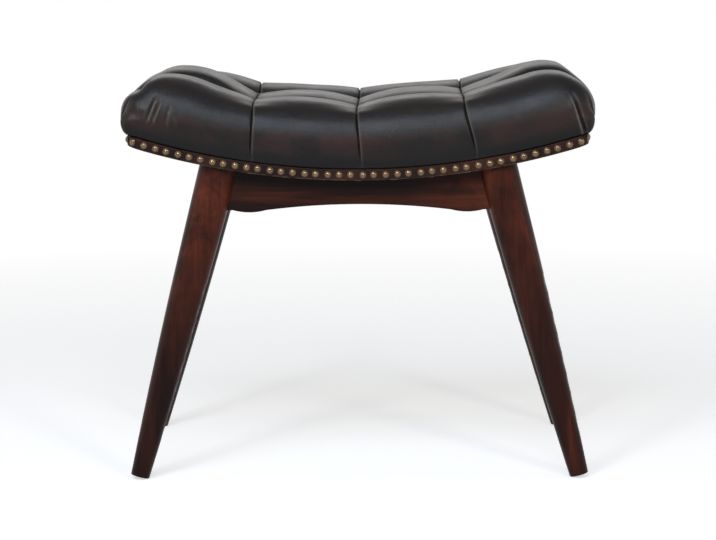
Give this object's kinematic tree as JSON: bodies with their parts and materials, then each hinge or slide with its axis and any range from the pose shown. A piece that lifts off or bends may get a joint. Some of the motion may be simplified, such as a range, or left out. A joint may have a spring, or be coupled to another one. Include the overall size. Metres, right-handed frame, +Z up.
{
  "type": "upholstered bench",
  "caption": "Short bench with a curved, tufted dark leather seat edged with brass nails, on splayed turned wooden legs with shaped aprons.",
  "frame": {"origin": "on the floor under the middle of the seat", "axes": "+X to the right along the seat, +Y to the back, +Z up"},
  "size_m": [0.6186, 0.3802, 0.5184],
  "materials": {
    "stained_wood": "dark mahogany stain under satin lacquer",
    "frame_wood": "plain sawn hardwood",
    "dowel_wood": "plain beech",
    "plywood": "plain plywood",
    "seat_leather": "semi-gloss, near black with a brown cast",
    "trim_leather": "satin dark brown",
    "button_leather": "semi-gloss",
    "nail_brass": "antique brass",
    "plated_steel": "zinc plated",
    "foam": "open-cell foam, matte",
    "dark_cloth": "thin woven cloth, matte",
    "twine": "waxed linen twine"
  },
  "bodies": {
    "root": {"apron_back": "stained_wood", "apron_dowels": "dowel_wood", "apron_front": "stained_wood", "block_screws": "plated_steel", "corner_block_back_left": "frame_wood", "corner_block_back_right": "frame_wood", "corner_block_front_left": "frame_wood", "corner_block_front_right": "frame_wood", "dust_cover": "dark_cloth", "dust_cover_staples": "plated_steel", "foam_pad": "foam", "leather_cover": "seat_leather", "leg_back_left": "stained_wood", "leg_back_right": "stained_wood", "leg_front_left": "stained_wood", "leg_front_right": "stained_wood", "nails_back": "nail_brass", "nails_front": "nail_brass", "nails_left": "nail_brass", "nails_right": "nail_brass", "rail_dowels": "dowel_wood", "seat_board": "plywood", "seat_screws": "plated_steel", "side_rail_left": "frame_wood", "side_rail_right": "frame_wood", "trim_band": "trim_leather", "tuft_buttons": "button_leather", "tuft_twines": "twine", "tuft_washers": "plated_steel"}
  },
  "joints": []
}
